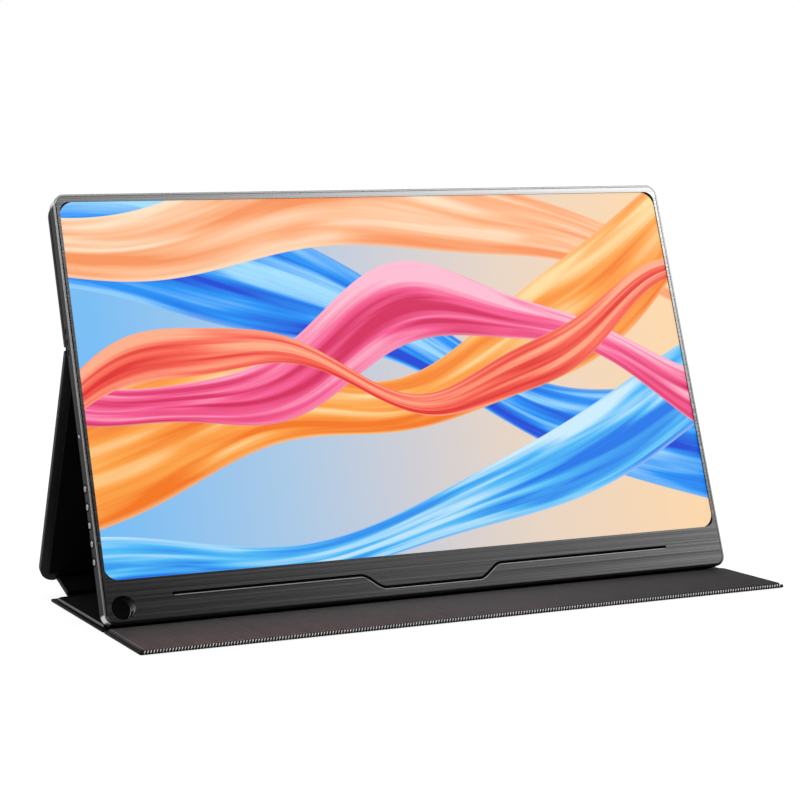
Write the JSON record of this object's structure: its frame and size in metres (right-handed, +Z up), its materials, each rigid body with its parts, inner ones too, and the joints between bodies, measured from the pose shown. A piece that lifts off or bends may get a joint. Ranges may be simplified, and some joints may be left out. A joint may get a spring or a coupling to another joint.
{
  "type": "portable monitor with folding cover",
  "caption": "Thin portable monitor that leans back on its folding cover: the cover's leg and spine prop it up from behind, and a flap lies in front.",
  "frame": {"origin": "middle of the footprint on the floor (centre of the bounding box, at its bottom)", "axes": "+X along the screen's width to the viewer's right, +Y from the screen to the rear, +Z up; the screen faces -Y and leans back"},
  "size_m": [0.3504, 0.1844, 0.2115],
  "materials": {
    "housing_metal": "satin dark grey coating",
    "bezel_metal": "brushed along the long side, dark grey",
    "black_plastic": "matte",
    "gasket_rubber": "matte",
    "picture_film": "anti-glare film in front of a lit picture",
    "cell_glass": "dark",
    "white_film": "matte white",
    "clear_acrylic": "clear, polished",
    "led_phosphor": "yellow phosphor on a white strip",
    "tray_steel": "bare zinc-coated sheet",
    "screw_steel": "bare",
    "circuit_board": "green solder mask",
    "chip_black": "matte",
    "heat_pad_rubber": "soft, matte",
    "socket_steel": "plated",
    "amber_film": "amber film",
    "grey_film": "light grey film",
    "magnet_metal": "nickel plated",
    "key_plastic": "black, slightly glossy",
    "black_leather": "fine grain, matte",
    "grey_leather": "warm dark grey with fine lengthwise grain",
    "grey_board": "pressed board",
    "black_lining": "soft brushed lining",
    "edge_thread": "overcast stitching on the bound edge"
  },
  "bodies": {
    "base_panel": {"base_skin": "black_leather", "rear_pad_board": "grey_board", "rear_pad_lining": "black_lining", "spine_fold": "black_leather", "flap_fold": "black_leather"},
    "front_flap": {"flap_skin": "black_leather", "flap_pad_board": "grey_board", "flap_pad_lining": "grey_leather", "flap_binding": "edge_thread", "flap_magnets": "magnet_metal"},
    "spine_panel": {"spine_skin": "black_leather", "spine_board": "grey_board", "spine_lining": "black_lining", "leg_fold": "black_leather"},
    "leg_panel": {"leg_skin": "black_leather", "leg_board": "grey_board", "leg_lining": "black_lining", "knee_fold": "black_leather"},
    "monitor": {"rear_shell": "housing_metal", "front_bezel": "bezel_metal", "pen_sleeve": "black_plastic", "display_gasket": "gasket_rubber", "screen_front": "picture_film", "lcd_cell": "cell_glass", "diffuser_sheet": "white_film", "light_guide": "clear_acrylic", "reflector_sheet": "white_film", "led_strip": "led_phosphor", "panel_tray": "tray_steel", "tray_screws": "screw_steel", "main_board": "circuit_board", "board_chips": "chip_black", "heat_pad": "heat_pad_rubber", "board_screws": "screw_steel", "usb_c_socket_1": "socket_steel", "usb_c_socket_2": "socket_steel", "mini_hdmi_socket": "socket_steel", "audio_jack": "black_plastic", "button_board": "circuit_board", "key_switches": "chip_black", "status_light_pipe": "clear_acrylic", "speaker_left": "black_plastic", "speaker_right": "black_plastic", "panel_ribbon": "amber_film", "button_ribbon": "grey_film", "housing_magnets": "magnet_metal", "upper_skin": "black_leather", "upper_board": "grey_board", "upper_lining": "black_lining", "cover_magnets": "magnet_metal"},
    "key_1": {"button_1": "key_plastic"},
    "key_2": {"button_2": "key_plastic"},
    "key_3": {"button_3": "key_plastic"},
    "key_4": {"button_4": "key_plastic"},
    "key_5": {"button_5": "key_plastic"}
  },
  "joints": [
    {"name": "spine_hinge", "type": "hinge", "parent": "base_panel", "child": "spine_panel", "pos_m": [0, 0.0662, 0.0007], "axis": [-1, 0, 0], "range_deg": [0, 16.06]},
    {"name": "leg_hinge", "type": "hinge", "parent": "spine_panel", "child": "leg_panel", "pos_m": [0, 0.09157, 0.008], "axis": [-1, 0, 0], "range_deg": [0, 102.4]},
    {"name": "knee_hinge", "type": "hinge", "parent": "leg_panel", "child": "monitor", "pos_m": [0, 0.02311, 0.13434], "axis": [1, 0, 0], "range_deg": [0, 47.56]},
    {"name": "flap_hinge", "type": "hinge", "parent": "base_panel", "child": "front_flap", "pos_m": [0, -0.03117, 0.0007], "axis": [-1, 0, 0], "range_deg": [-90, 8]},
    {"name": "button_1_press", "type": "slide", "parent": "monitor", "child": "key_1", "axis": [1, 0, 0], "range_m": [0, 0.0003], "stiffness_N_per_m": 5000, "springref_m": -0.0001},
    {"name": "button_2_press", "type": "slide", "parent": "monitor", "child": "key_2", "axis": [1, 0, 0], "range_m": [0, 0.0003], "stiffness_N_per_m": 5000, "springref_m": -0.0001},
    {"name": "button_3_press", "type": "slide", "parent": "monitor", "child": "key_3", "axis": [1, 0, 0], "range_m": [0, 0.0003], "stiffness_N_per_m": 5000, "springref_m": -0.0001},
    {"name": "button_4_press", "type": "slide", "parent": "monitor", "child": "key_4", "axis": [1, 0, 0], "range_m": [0, 0.0003], "stiffness_N_per_m": 5000, "springref_m": -0.0001},
    {"name": "button_5_press", "type": "slide", "parent": "monitor", "child": "key_5", "axis": [1, 0, 0], "range_m": [0, 0.0003], "stiffness_N_per_m": 5000, "springref_m": -0.0001}
  ],
  "couplings": [
    {"joint": "spine_hinge", "follows": "leg_hinge", "ratio": 0.15676},
    {"joint": "knee_hinge", "follows": "leg_hinge", "ratio": 0.46438}
  ]
}
